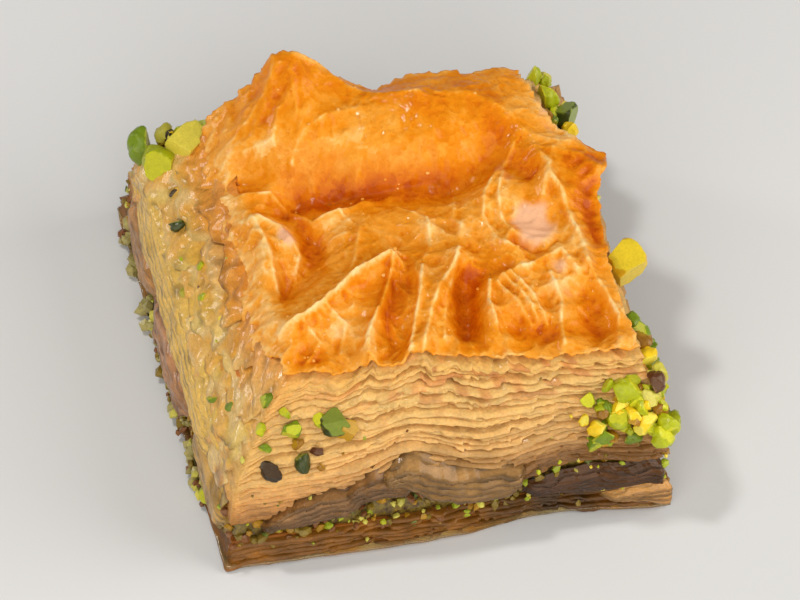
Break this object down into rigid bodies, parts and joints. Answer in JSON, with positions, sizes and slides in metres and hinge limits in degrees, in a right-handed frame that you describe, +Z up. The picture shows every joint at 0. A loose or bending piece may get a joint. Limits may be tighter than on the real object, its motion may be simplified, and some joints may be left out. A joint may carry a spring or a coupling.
{
  "type": "baklava piece",
  "caption": "Square of layered pistachio pastry: glazed, folded top sheet over flaky leaves, a nut filling and soaked lower leaves, with chopped nuts stuck to its sides.",
  "frame": {"origin": "middle of the flat base, on the surface that the piece rests on", "axes": "+Z up, +X to the right along the front edge, -Y towards the viewer, at the front with the buckled leaves"},
  "size_m": [0.054, 0.0552, 0.0286],
  "materials": {
    "glazed_filo": "syrup-glazed",
    "pistachio": "moist and coarse",
    "soaked_filo": "soaked in syrup"
  },
  "bodies": {
    "root": {"upper_leaves": "glazed_filo", "pistachio_filling": "pistachio", "lower_leaves": "soaked_filo"}
  },
  "joints": []
}
